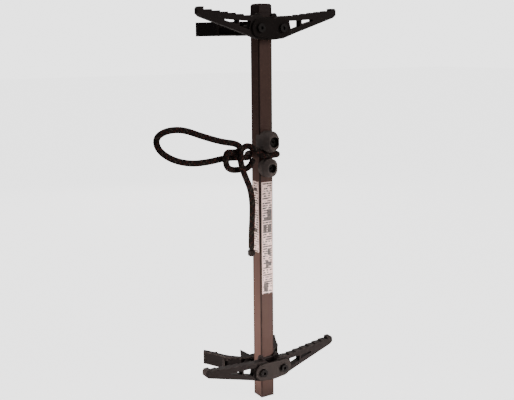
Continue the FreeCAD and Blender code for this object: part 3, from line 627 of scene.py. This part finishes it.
def carried_frames(points):
    """The line's direction at each point, and a direction across it, carried along without twist."""
    tangents = []
    for number in range(len(points)):
        before = points[max(number - 1, 0)]
        after = points[min(number + 1, len(points) - 1)]
        tangents.append((after - before).normalized())
    side = tangents[0].orthogonal().normalized()
    sides = []
    for tangent in tangents:
        side = (side - tangent * side.dot(tangent)).normalized()
        sides.append(side)
    return tangents, sides


def braid(turn, along):
    """The braid's relief from 0 to 1, and the tone of the carrier on top, at a place on the rope."""
    lean = along / BRAID_PITCH * CARRIERS / 2
    first = CARRIERS * turn + lean
    second = CARRIERS * turn - lean
    first_cell, second_cell = math.floor(first), math.floor(second)
    first_part, second_part = first - first_cell, second - second_cell
    if (first_cell + second_cell) % 2:
        across, lengthwise, carrier = first_part, second_part, first_cell
    else:
        across, lengthwise, carrier = second_part, first_part, second_cell + 3
    crown = math.sin(math.pi * across) ** CROWN_POWER
    arch = ARCH_LOW + (1 - ARCH_LOW) * math.sin(math.pi * lengthwise)
    return crown * arch, CARRIER_TONES[CARRIER_ORDER[carrier % CARRIERS]]


def skinned_rings(name, vertices, around, material):
    """A smooth closed piece over rings of vertices, with a flat face on each end."""
    rings = len(vertices) // around
    faces = []
    for ring in range(rings - 1):
        low, high = ring * around, (ring + 1) * around
        for step in range(around):
            after = (step + 1) % around
            faces.append((low + step, low + after, high + after, high + step))
    faces.append(tuple(reversed(range(around))))
    faces.append(tuple((rings - 1) * around + step for step in range(around)))
    mesh = bpy.data.meshes.new(name)
    mesh.from_pydata(vertices, [], faces)
    mesh.polygons.foreach_set("use_smooth", [True] * len(mesh.polygons))
    mesh.materials.append(material)
    return add_object(name, mesh)


def make_rope():
    """The rope: a braided tube along the smooth route, melted at each end."""
    points = evenly_spaced(smooth_route(), RING_STEP)
    vertices, tones = [], []
    for number, (point, tangent, side) in enumerate(zip(points, *carried_frames(points))):
        other = tangent.cross(side)
        along = number * RING_STEP
        swell = 1 + SWELL_SHARE * noise.noise(Vector((along * SWELL_RATE, 0, 0)))
        to_end = min(number, len(points) - 1 - number) * RING_STEP
        melted = max(0.0, 1 - to_end / MELT_LONG)
        smoothed = min(1.0, 2 * melted)
        dome = END_SHARE + (1 - END_SHARE) * math.sqrt(max(0.0, 1 - melted ** 2))
        for step in range(RING_POINTS):
            turn = step / RING_POINTS
            angle = 2 * math.pi * turn
            relief, tone = braid(turn, along)
            relief += (MELT_RELIEF - relief) * smoothed
            radius = (CROWN_RADIUS - BRAID_HIGH * (1 - relief)) * swell * dome
            vertices.append(point + (side * math.cos(angle) + other * math.sin(angle)) * radius)
            # painted shade in the braid's valleys
            shade = VALLEY_SHADE_TONE + (1 - VALLEY_SHADE_TONE) * relief
            tones.append((Vector(tone) * shade).lerp(MELT_TONE, smoothed))
    rope = skinned_rings("rope_braid", vertices, RING_POINTS, ROPE_FIBRE)
    colours = rope.data.color_attributes.new("carrier", "FLOAT_COLOR", "POINT")
    for item, tone in zip(colours.data, tones):
        item.color = (*tone, 1.0)
    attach(rope, "stick")
    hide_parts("rope")
    return rope, points


# ---------------------------------------------------------------- stopper

# The knob's outline from its foot up: shares of its widest radius and of its height
STOPPER_OUTLINE = [
    (0.30, 0.0), (0.55, 0.02), (0.74, 0.08), (0.88, 0.17), (0.96, 0.28), (0.97, 0.40), (0.93, 0.48),
    (0.89, 0.53), (0.93, 0.58), (0.975, 0.66), (0.96, 0.76), (0.88, 0.87), (0.78, 0.95), (0.70, 1.0),
]
STOPPER_AROUND = 48
WOBBLE = 0.35 * MM
WOBBLE_ROUND = 1.7
WOBBLE_UP = 300.0  # per metre of height
WOBBLE_FADES = 2 * MM  # towards the axis, within this radius


def make_stopper():
    """The melted knob that ends the tail: a swollen collar over a rounded foot, a little uneven."""
    low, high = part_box("rope_stopper")
    x, y, _ = middle("rope_stopper")
    foot = Vector((x, y, low[2]))
    tall = high[2] - low[2]
    widest = (high[0] - low[0]) / 2
    vertices = []
    for radius_share, height_share in STOPPER_OUTLINE:
        radius, height = radius_share * widest, height_share * tall
        for step in range(STOPPER_AROUND):
            angle = 2 * math.pi * step / STOPPER_AROUND
            outwards = Vector((math.cos(angle), math.sin(angle), 0))
            lump = WOBBLE * noise.noise(outwards * WOBBLE_ROUND + Vector((0, 0, height * WOBBLE_UP)))
            reach = radius + lump * min(1.0, radius / WOBBLE_FADES)
            vertices.append(foot + outwards * reach + Vector((0, 0, height)))
    stopper = skinned_rings("stopper_knob", vertices, STOPPER_AROUND, STOPPER_MELT)
    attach(stopper, "stick")
    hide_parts("rope_stopper")
    return stopper


# ---------------------------------------------------------------- stage

FLOOR_SIZE = 30.0
FLOOR_DROP = 1.0 * MM
FLOOR_ROUGHNESS = 0.9
FLOOR_TONE = 0.8
FLOOR_TONE_SEEN = 0.2  # to the camera, where the floor glows as well
SEEN_FLOOR = 2.65
SEEN_WORLD = 2.85
AMBIENT = 0.17
WHITE = (1.0, 1.0, 1.0, 1.0)
WARM = (1.0, 0.89, 0.85)

# Soft square boxes: place, target, width, power in watts and spread in degrees
LIGHTS = {
    "front_box": ((1.1, -2.0, 1.3), (0, 0, 0.35), 1.3, 33, 180),
    "top_box": ((-0.3, 0.5, 2.2), (0, 0, 0.3), 1.2, 24, 180),
    "back_box": ((0.8, 2.0, 0.9), (0, 0, 0.35), 1.2, 22, 180),
    "low_left_box": ((-1.25, 0.12, 0.12), (0, 0, 0.045), 0.3, 2.5, 34),
    "low_front_box": ((0.75, -1.0, 0.10), (0, 0, 0.06), 0.3, 1.5, 34),
}


def make_floor():
    """A wide pale floor that runs out into the pale surroundings, bright to the camera only."""
    bpy.ops.mesh.primitive_plane_add(size=FLOOR_SIZE, location=(0, 0, CAD_BOX[0][2] - FLOOR_DROP))
    floor = bpy.context.object
    floor.name = "floor"
    shader = Shader("floor_pale")
    shader.bsdf.inputs["Roughness"].default_value = FLOOR_ROUGHNESS
    shader.gloss(0.0)
    shader.bsdf.inputs["Emission Color"].default_value = WHITE
    seen = shader.node("ShaderNodeLightPath").outputs["Is Camera Ray"]
    shader.link(shader.product(seen, SEEN_FLOOR), shader.bsdf.inputs["Emission Strength"])
    shader.colour(shader.mix(seen, (FLOOR_TONE,) * 3, (FLOOR_TONE_SEEN,) * 3))
    floor.data.materials.append(shader.material)


def make_surroundings():
    """Pale surroundings, bright to the camera and dim to the object."""
    world = bpy.data.worlds.new("pale")
    bpy.context.scene.world = world
    world.use_nodes = True
    tree = world.node_tree
    background = tree.nodes["Background"]
    background.inputs["Color"].default_value = WHITE
    seen = tree.nodes.new("ShaderNodeLightPath").outputs["Is Camera Ray"]
    strength = tree.nodes.new("ShaderNodeMapRange")
    strength.inputs["To Min"].default_value = AMBIENT
    strength.inputs["To Max"].default_value = SEEN_WORLD
    tree.links.new(seen, strength.inputs["Value"])
    tree.links.new(strength.outputs["Result"], background.inputs["Strength"])


def light_stage():
    """Soft boxes in front, above and behind, and two low ones that lift the lower half."""
    for name, (place, target, width, power, spread) in LIGHTS.items():
        data = bpy.data.lights.new(name, "AREA")
        data.shape = "SQUARE"
        data.size = width
        data.energy = power
        data.color = WARM
        data.spread = math.radians(spread)
        light = add_object(name, data)
        light.location = place
        light.rotation_euler = (Vector(target) - Vector(place)).to_track_quat("-Z", "Y").to_euler()
        light.visible_camera = False


place_camera()
rope, rope_points = make_rope()
stopper = make_stopper()
dress_frame()
make_floor()
make_surroundings()
light_stage()
